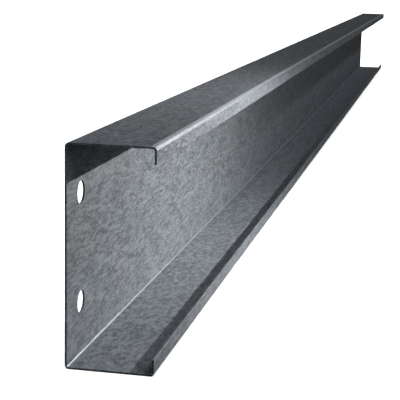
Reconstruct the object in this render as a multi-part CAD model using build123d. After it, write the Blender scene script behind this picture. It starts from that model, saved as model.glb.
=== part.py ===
from build123d import *
import os

# A cold-rolled C purlin: one length of galvanised strip, rolled into a lipped channel and
# punched for its bolts. It lies along X and stands on edge as it does in a roof: web at +Y,
# open side toward -Y, lower flange on the XY plane, origin under the middle of its length.

# The rolled section, measured over the outside of the strip
DEPTH = 172
FLANGE_WIDTH = 69
LIP_LENGTH = 13
GAUGE = 1.6
INNER_BEND_RADIUS = 1.5

# The length as cut
LENGTH = 3000

# Bolt holes, one above the other at each end of the web
HOLE_DIAMETER = 18
HOLE_FROM_FLANGE = 43
HOLE_FROM_END = 35

outer_bend_radius = INNER_BEND_RADIUS + GAUGE
web_y = FLANGE_WIDTH / 2
lip_y = -FLANGE_WIDTH / 2

with BuildPart() as purlin:
    # The strip's outer side is one bent line: lip, flange, web, flange, lip. The strip's
    # thickness goes inward from it, so every bend keeps its inner radius.
    with BuildSketch(Plane.YZ.offset(-LENGTH / 2)):
        with BuildLine():
            outer_side = FilletPolyline(
                (lip_y, LIP_LENGTH),
                (lip_y, 0),
                (web_y, 0),
                (web_y, DEPTH),
                (lip_y, DEPTH),
                (lip_y, DEPTH - LIP_LENGTH),
                radius=outer_bend_radius,
            )
            offset(outer_side, amount=GAUGE, side=Side.LEFT)
        make_face()
    extrude(amount=LENGTH)

    # A pair of bolt holes is punched through the web at each end
    web_middle = Plane((0, web_y, DEPTH / 2), x_dir=(1, 0, 0), z_dir=(0, -1, 0))
    with BuildSketch(web_middle):
        with GridLocations(LENGTH - 2 * HOLE_FROM_END, DEPTH - 2 * HOLE_FROM_FLANGE, 2, 2):
            Circle(HOLE_DIAMETER / 2)
    extrude(amount=GAUGE, mode=Mode.SUBTRACT)

os.makedirs("parts", exist_ok=True)
export_step(purlin.part, "parts/purlin.step")
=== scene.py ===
import math

import bmesh
import bpy
from mathutils import Matrix, Vector


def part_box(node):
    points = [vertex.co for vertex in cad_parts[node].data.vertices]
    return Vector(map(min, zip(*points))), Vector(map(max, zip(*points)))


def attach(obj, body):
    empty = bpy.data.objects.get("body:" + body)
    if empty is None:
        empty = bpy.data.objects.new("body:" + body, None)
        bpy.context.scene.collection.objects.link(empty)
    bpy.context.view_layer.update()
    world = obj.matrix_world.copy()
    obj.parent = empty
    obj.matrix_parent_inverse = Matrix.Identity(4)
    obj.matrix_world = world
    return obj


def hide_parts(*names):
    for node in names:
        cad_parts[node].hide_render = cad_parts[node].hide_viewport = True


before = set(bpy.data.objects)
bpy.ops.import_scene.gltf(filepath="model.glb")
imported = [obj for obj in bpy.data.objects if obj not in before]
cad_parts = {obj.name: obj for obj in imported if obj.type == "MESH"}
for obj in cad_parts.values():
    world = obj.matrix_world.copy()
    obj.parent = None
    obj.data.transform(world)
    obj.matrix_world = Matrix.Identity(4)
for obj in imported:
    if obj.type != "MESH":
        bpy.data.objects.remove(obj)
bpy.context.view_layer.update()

# The purlin: one length of galvanised strip, cold-rolled into a lipped C and punched for its
# bolts. The bends are round, and the slitter, the shear and the punch leave small broken edges.

(x_near, y_lips, z_underside), (x_far, y_web, z_top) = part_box("purlin")
LIP_LENGTH = 0.013
GAUGE = 0.0016
INNER_BEND_RADIUS = 0.0015
HOLE_DIAMETER = 0.018
HOLE_FROM_END = 0.035
HOLE_FROM_FLANGE = 0.043
PUNCH_STROKE = 8 * GAUGE
BROKEN_EDGE = 0.00008
BROKEN_EDGE_STEPS = 2
SHARPEST_SMOOTH_ANGLE = math.radians(60)
BEND_STEPS = 12
HOLE_STEPS = 72

# Pairs of points across the strip, outer side and inner side, from lip to lip
outer_bend_radius = INNER_BEND_RADIUS + GAUGE
section = [((y_lips, z_underside + LIP_LENGTH), (y_lips + GAUGE, z_underside + LIP_LENGTH))]
for bend_y, bend_z, first_angle in (
    (y_lips + outer_bend_radius, z_underside + outer_bend_radius, 180),
    (y_web - outer_bend_radius, z_underside + outer_bend_radius, 270),
    (y_web - outer_bend_radius, z_top - outer_bend_radius, 0),
    (y_lips + outer_bend_radius, z_top - outer_bend_radius, 90),
):
    for step in range(BEND_STEPS + 1):
        angle = math.radians(first_angle + 90 * step / BEND_STEPS)
        section.append(
            tuple(
                (bend_y + radius * math.cos(angle), bend_z + radius * math.sin(angle))
                for radius in (outer_bend_radius, INNER_BEND_RADIUS)
            )
        )
section.append(((y_lips, z_top - LIP_LENGTH), (y_lips + GAUGE, z_top - LIP_LENGTH)))

# The strip runs from end to end, with a cross line inward of each pair of holes
strip = bmesh.new()
hole_zone = 2 * HOLE_FROM_END
rings = [
    [tuple(strip.verts.new((x, *point)) for point in pair) for pair in section]
    for x in (x_near, x_near + hole_zone, x_far - hole_zone, x_far)
]
for ring, next_ring in zip(rings, rings[1:]):
    for side in (0, 1):
        line = [pair[side] for pair in ring]
        next_line = [pair[side] for pair in next_ring]
        for corners in zip(line, line[1:], next_line[1:], next_line):
            strip.faces.new(corners)
    for tip in (0, -1):
        strip.faces.new((ring[tip][0], ring[tip][1], next_ring[tip][1], next_ring[tip][0]))
for ring in (rings[0], rings[-1]):
    for pair, next_pair in zip(ring, ring[1:]):
        strip.faces.new((pair[0], pair[1], next_pair[1], next_pair[0]))
bmesh.ops.recalc_face_normals(strip, faces=strip.faces)
strip_mesh = bpy.data.meshes.new("rolled_strip")
strip.to_mesh(strip_mesh)
strip.free()
strip_mesh.shade_smooth()
strip_blank = bpy.data.objects.new("rolled_strip", strip_mesh)
bpy.context.collection.objects.link(strip_blank)

# The punch: a round plug through the web at each hole
punch = bmesh.new()
for x in (x_near + HOLE_FROM_END, x_far - HOLE_FROM_END):
    for z in (z_underside + HOLE_FROM_FLANGE, z_top - HOLE_FROM_FLANGE):
        in_web = Matrix.Translation((x, y_web - GAUGE / 2, z))
        bmesh.ops.create_cone(
            punch,
            cap_ends=True,
            segments=HOLE_STEPS,
            radius1=HOLE_DIAMETER / 2,
            radius2=HOLE_DIAMETER / 2,
            depth=PUNCH_STROKE,
            matrix=in_web @ Matrix.Rotation(math.pi / 2, 4, "X"),
        )
punch_mesh = bpy.data.meshes.new("punch")
punch.to_mesh(punch_mesh)
punch.free()
punch_tool = bpy.data.objects.new("punch", punch_mesh)
bpy.context.collection.objects.link(punch_tool)

punched = strip_blank.modifiers.new("punched", "BOOLEAN")
punched.operation = "DIFFERENCE"
punched.solver = "EXACT"
punched.object = punch_tool
broken = strip_blank.modifiers.new("broken_edges", "BEVEL")
broken.width = BROKEN_EDGE
broken.segments = BROKEN_EDGE_STEPS
broken.limit_method = "ANGLE"
broken.angle_limit = SHARPEST_SMOOTH_ANGLE
even = strip_blank.modifiers.new("even_shading", "WEIGHTED_NORMAL")
even.weight = 100
finished_mesh = bpy.data.meshes.new_from_object(
    strip_blank.evaluated_get(bpy.context.evaluated_depsgraph_get())
)
finished_mesh.name = "c_purlin"
bpy.data.objects.remove(strip_blank)
bpy.data.objects.remove(punch_tool)
c_purlin = bpy.data.objects.new("c_purlin", finished_mesh)
bpy.context.collection.objects.link(c_purlin)
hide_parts("purlin")
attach(c_purlin, "root")


class Value:
    """A number, colour or direction that a shader works out. It takes Python's arithmetic."""

    def __init__(self, shader, socket):
        self.shader = shader
        self.socket = socket

    def other(self, output):
        """Another output of the same node."""
        return Value(self.shader, self.socket.node.outputs[output])

    def maths(self, operation, *numbers):
        sockets = dict(enumerate(numbers))
        return self.shader.node("ShaderNodeMath", {"operation": operation}, sockets, 0)

    def __add__(self, number):
        return self.maths("ADD", self, number)

    __radd__ = __add__

    def __sub__(self, number):
        return self.maths("SUBTRACT", self, number)

    def __rsub__(self, number):
        return self.maths("SUBTRACT", number, self)

    def __mul__(self, number):
        return self.maths("MULTIPLY", self, number)

    __rmul__ = __mul__

    def __abs__(self):
        return self.maths("ABSOLUTE", self)


class Shader:
    """The nodes of a material or of the surround."""

    def __init__(self, owner):
        owner.use_nodes = True
        self.owner = owner
        self.tree = owner.node_tree
        self.tree.nodes.clear()

    def node(self, kind, settings, sockets, output=None):
        """A node of this type, with its settings and its sockets' values or links."""
        made = self.tree.nodes.new(kind)
        for name, setting in settings.items():
            setattr(made, name, setting)
        for name, given in sockets.items():
            if isinstance(given, Value):
                self.tree.links.new(given.socket, made.inputs[name])
            else:
                made.inputs[name].default_value = given
        return None if output is None else Value(self, made.outputs[output])

    def mottle(self, place, size, turn=(0, 0, 0), detail=3.0, roughness=0.55):
        """Uneven tone, 0 to 1, with patches of this size in metres, turned by these angles."""
        turned = self.node(
            "ShaderNodeMapping",
            {"vector_type": "TEXTURE"},
            {"Vector": place, "Rotation": turn, "Scale": size},
            "Vector",
        )
        return self.node(
            "ShaderNodeTexNoise",
            {},
            {"Vector": turned, "Scale": 1, "Detail": detail, "Roughness": roughness},
            "Fac",
        )

    def between(self, value, low, high, how="LINEAR"):
        """0 where the value is low, 1 where it is high."""
        return self.node(
            "ShaderNodeMapRange",
            {"interpolation_type": how, "clamp": True},
            {"Value": value, "From Min": low, "From Max": high},
            "Result",
        )

    def blend(self, share, first, second):
        """The first colour where the share is 0, the second where it is 1."""
        return self.node("ShaderNodeMix", {"data_type": "RGBA"}, {0: share, 6: first, 7: second}, 2)


# Where on the purlin a point lies. Each of these is 1 in its own place and 0 elsewhere: the cut
# ends, the web and lips, the bends, the top face, the lips, the strip of flange beside the lip's
# bend, and the gutter inside the lower lip. Height and toward_lip rise from 0 to 1 on the way.
# Widths of the strip beside the upper lip's bend where a highlight is painted on the top face
HIGHLIGHT_STRIP = 0.0034
HIGHLIGHT_STRIP_FADED = 0.0060
FLAT_TONE_FROM_WEB = 0.015
FULL_TONE_FROM_LIPS = 0.0195

zinc = Shader(bpy.data.materials.new("galvanised_strip"))
place = zinc.node("ShaderNodeTexCoord", {}, {}, "Object")
normal = zinc.node("ShaderNodeNewGeometry", {}, {}, "Normal")
facing = zinc.node("ShaderNodeSeparateXYZ", {}, {0: normal}, "Y")
facing_y = abs(facing)
facing_z = abs(facing.other("Z"))
on_cut = zinc.between(abs(facing.other("X")), 0.3, 0.8)
on_upright = zinc.between(facing_y, 0.6, 0.8)
on_bend = zinc.between(facing_y * facing_z, 0, 0.12, "SMOOTHSTEP")
across = zinc.node("ShaderNodeSeparateXYZ", {}, {0: place}, "Y")
height = zinc.between(across.other("Z"), z_underside, z_top)
on_top = (1 - on_bend) * facing_z * height
on_lip = zinc.between(across, y_lips + 2 * GAUGE, y_lips + GAUGE) * on_upright
# The strip beside the upper lip's bend, fading away from it, where a highlight is painted on the
# top face
highlight_strip = zinc.between(
    across, y_lips + HIGHLIGHT_STRIP_FADED, y_lips + HIGHLIGHT_STRIP, "SMOOTHSTEP"
)
toward_lip = zinc.between(across, y_web - FLAT_TONE_FROM_WEB, y_lips + FULL_TONE_FROM_LIPS)
# Painted shadow of the lower lip on the lower flange, darkest toward the lip
painted_lip_shadow = toward_lip * (1 - on_upright) * (1 - height)

# The rolls draw the zinc's grain out along the web and the lips, rising a little toward the far
# end. On the flanges the grain stays round. Wider clouds and stains lie over both.
DRAWN_GRAIN = (0.0090, 0.0020, 0.0020)
GRAIN_RISE = math.radians(-1.5)
ROUND_GRAIN = (0.0085, 0.0047, 0.0047)
CLOUD = (0.030, 0.0090, 0.0090)
STAIN = (0.110, 0.045, 0.050)

drawn_grain = zinc.mottle(place, DRAWN_GRAIN, turn=(0, GRAIN_RISE, 0), detail=2.5, roughness=1)
round_grain = zinc.mottle(place, ROUND_GRAIN, detail=3.5, roughness=1)
grain = on_upright * drawn_grain + (1 - on_upright) * round_grain
clouds = zinc.mottle(place, CLOUD, detail=2)
stained = zinc.between(zinc.mottle(place, STAIN, detail=2), 0.42, 0.66)

# The zinc is a cool grey with warmer stains. Its grain shows most on the lower flange.
DARK_ZINC = (0.163, 0.1865, 0.209, 1)
LIGHT_ZINC = (0.429, 0.468, 0.513, 1)
DARK_STAINED_ZINC = (0.170, 0.1885, 0.205, 1)
LIGHT_STAINED_ZINC = (0.438, 0.470, 0.499, 1)

grain_contrast = 5.2 - 1.25 * on_upright - 1.2 * on_top
cloud_contrast = 0.65 + 0.45 * on_upright
tone = 0.5 + grain_contrast * (grain - 0.5) + cloud_contrast * (clouds - 0.5)
clean_zinc = zinc.blend(tone, DARK_ZINC, LIGHT_ZINC)
stained_zinc = zinc.blend(tone, DARK_STAINED_ZINC, LIGHT_STAINED_ZINC)
zinc_colour = zinc.blend(stained, clean_zinc, stained_zinc)

# Painted shade darkens the cut ends, the top face (more toward the lip), the lower lip, and the
# lower flange toward the lower lip, where the lip's shadow from the key lamp falls. Painted light
# keeps the flanges lighter than the web and lips. The top face is also rougher. A painted highlight
# lightens the bends and a narrow strip of the top face beside the upper lip's bend.
PLAIN = (1, 1, 1, 1)
# The lips get a slightly warmer tint, and painted shade makes them a little darker
LIP_TINT_AND_SHADE = (0.975, 0.955, 0.965, 1)
# The pale zinc that the painted highlights blend toward
HIGHLIGHT_ZINC = (0.83, 0.88, 0.93, 1)
GRAIN_DEPTH = 0.0004

brightness = (
    1.15
    # Painted light: the flanges are kept lighter than the web and lips
    - 0.15 * on_upright
    # Painted shade: the cut ends are darkened
    - 0.50 * on_cut
    # Painted shade: the top face is darkened, more so toward the lip
    - (0.33 + 0.09 * toward_lip) * on_top
    # Painted shadow: the lower flange darkens toward the lower lip, where the lip's shadow from the
    # key lamp falls
    - 0.20 * painted_lip_shadow
    # Painted shade: the lower lip is darkened
    - 0.11 * on_lip * (1 - height)
)
shade = zinc.node(
    "ShaderNodeVectorMath",
    {"operation": "SCALE"},
    {0: zinc.blend(on_lip, PLAIN, LIP_TINT_AND_SHADE), "Scale": brightness},
    0,
)
zinc_with_painted_shade = zinc.node(
    "ShaderNodeVectorMath", {"operation": "MULTIPLY"}, {0: zinc_colour, 1: shade}, 0
)
# Painted highlight: the bends are lightened, most where they face up, and so is the strip of the
# top face beside the upper lip's bend
painted_highlight = (0.8 - 0.05 * height) * on_bend * facing_z * facing_z + 0.85 * highlight_strip * on_top
relief = zinc.node(
    "ShaderNodeBump",
    {},
    {"Strength": 0.15 - 0.15 * on_bend, "Distance": GRAIN_DEPTH, "Height": grain},
    "Normal",
)
surface = zinc.node(
    "ShaderNodeBsdfPrincipled",
    {},
    {
        "Base Color": zinc.blend(painted_highlight, zinc_with_painted_shade, HIGHLIGHT_ZINC),
        "Metallic": 0.4 + 0.2 * on_bend,
        "Roughness": 0.52 + 0.15 * (grain - 0.5) * (1 - on_bend) - 0.10 * on_bend + 0.3 * on_top,
        "Normal": relief,
    },
    "BSDF",
)
zinc.node("ShaderNodeOutputMaterial", {}, {"Surface": surface})
c_purlin.data.materials.clear()
c_purlin.data.materials.append(zinc.owner)

# The floor: plain pale paper, rolled out far enough to have no edge in view. It has a wide lamp
# of its own, so that it stays white, and it throws no light back on the steel.

FLOOR_REACH = 30
PAPER_FIBRE = (0.004, 0.004, 0.004)
PAPER_DARK = (0.88, 0.88, 0.88, 1)
PAPER_LIGHT = (0.92, 0.92, 0.92, 1)

floor_mesh = bpy.data.meshes.new("floor")
floor_corners = [
    (x * FLOOR_REACH, y * FLOOR_REACH, 0) for x, y in ((-1, -1), (1, -1), (1, 1), (-1, 1))
]
floor_mesh.from_pydata(floor_corners, [], [(0, 1, 2, 3)])
floor = bpy.data.objects.new("floor", floor_mesh)
bpy.context.collection.objects.link(floor)
floor.visible_diffuse = False
floor.visible_glossy = False

paper = Shader(bpy.data.materials.new("pale_paper"))
fibres = paper.mottle(paper.node("ShaderNodeTexCoord", {}, {}, "Object"), PAPER_FIBRE)
paper_surface = paper.node(
    "ShaderNodeBsdfPrincipled",
    {},
    {"Base Color": paper.blend(fibres, PAPER_DARK, PAPER_LIGHT), "Roughness": 0.9},
    "BSDF",
)
paper.node("ShaderNodeOutputMaterial", {}, {"Surface": paper_surface})
floor_mesh.materials.append(paper.owner)


def lamp(name, kind, power, location, target, **settings):
    """A lamp that shines from its location toward the target."""
    light = bpy.data.lights.new(name, kind)
    light.energy = power
    for setting, value in settings.items():
        setattr(light, setting, value)
    made = bpy.data.objects.new(name, light)
    made.location = location
    made.rotation_euler = (Vector(target) - Vector(location)).to_track_quat("-Z", "Y").to_euler()
    made.visible_camera = False
    bpy.context.collection.objects.link(made)
    return made


floor_lamp = lamp("floor_lamp", "SUN", 5.5, (0, 0, 3), (0, 0, 0), angle=math.radians(60))
floor_only = bpy.data.collections.new("floor_only")
floor_only.objects.link(floor)
floor_lamp.light_linking.receiver_collection = floor_only

# The studio's hard light: a small key lamp at the open side near the close end, and a weak lamp
# far off and high on the same side, which throws the flange's shadow on the web. A tall gloss
# lamp, seen only in the bends, draws the lines of light on them.

WARM_LIGHT = (1, 0.99, 0.97)
COOL_LIGHT = (0.925, 0.95, 1)

key_place = (-1.11, -0.3957, 0.2528)
key_target = (-1.11, -0.3103, 0)
key_lamp = lamp(
    "key", "AREA", 4.25, key_place, key_target, shape="DISK", size=0.01, color=WARM_LIGHT
)
fill_lamp = lamp(
    "fill", "SUN", 0.56, (0, -1, 1.41), (0, 0, 0), angle=math.radians(6), color=COOL_LIGHT
)
gloss_place = (-0.9, -0.2192, 0.36)
gloss_target = (-1.35, -0.03, 0.1)
gloss_lamp = lamp(
    "gloss", "AREA", 0.55, gloss_place, gloss_target, shape="ELLIPSE", size=0.14, size_y=0.5
)
gloss_lamp.visible_diffuse = False

# The studio's soft light: lamps over the near end, beside the middle and beside the far half keep
# the tone even along the purlin, and a long strip lights the back of the web. None of them shows
# as a reflection.

near_lamp = lamp(
    "near",
    "AREA",
    0.35,
    (-1.72, -0.2, 0.5),
    (-1.45, 0, 0.05),
    shape="DISK",
    size=0.2,
    color=(0.91, 0.95, 1),
)
middle_lamp = lamp(
    "middle",
    "AREA",
    0.31,
    (-0.72, -0.55, 0.2),
    (-0.72, 0, 0.09),
    shape="DISK",
    size=0.3,
    color=(1, 0.98, 0.94),
)
far_lamp = lamp(
    "far",
    "AREA",
    1.85,
    (0.1, -1.45, 0.4),
    (0.1, 0, 0.09),
    shape="DISK",
    size=1,
    color=(0.905, 0.943, 1),
)
back_lamp = lamp(
    "back",
    "AREA",
    13,
    (0, 0.8, 0.09),
    (0, 0, 0.09),
    shape="RECTANGLE",
    size=4,
    size_y=0.14,
)
for soft_lamp in (near_lamp, middle_lamp, far_lamp, back_lamp):
    soft_lamp.visible_glossy = False

# No lamp's light passes from one face of the steel to another, so shadows stay deep
for steel_lamp in (key_lamp, fill_lamp, gloss_lamp, near_lamp, middle_lamp, far_lamp, back_lamp):
    steel_lamp.data.cycles.max_bounces = 0

# The surround: white where it is seen, and so weak otherwise that it barely lights the steel

SURROUND_ON_STEEL = 0.055

studio = Shader(bpy.data.worlds.new("studio"))
bpy.context.scene.world = studio.owner
seen_directly = studio.node("ShaderNodeLightPath", {}, {}, "Is Camera Ray")
white = studio.node(
    "ShaderNodeBackground",
    {},
    {
        "Color": (1, 1, 1, 1),
        "Strength": SURROUND_ON_STEEL + (1 - SURROUND_ON_STEEL) * seen_directly,
    },
    "Background",
)
studio.node("ShaderNodeOutputWorld", {}, {"Surface": white})

# The camera: before the near end, a little to the open side and above the upper flange, looking
# along the purlin and slightly down

camera_data = bpy.data.cameras.new("camera")
camera_data.lens = 104.146
camera_data.sensor_width = 36
camera_data.clip_start = 0.01
camera = bpy.data.objects.new("camera", camera_data)
camera.location = (-2.29084, -0.22982, 0.29573)
camera.rotation_euler = (1.375003, -0.021512, -1.362816)
bpy.context.collection.objects.link(camera)
bpy.context.scene.camera = camera
bpy.context.scene.view_settings.view_transform = "Standard"
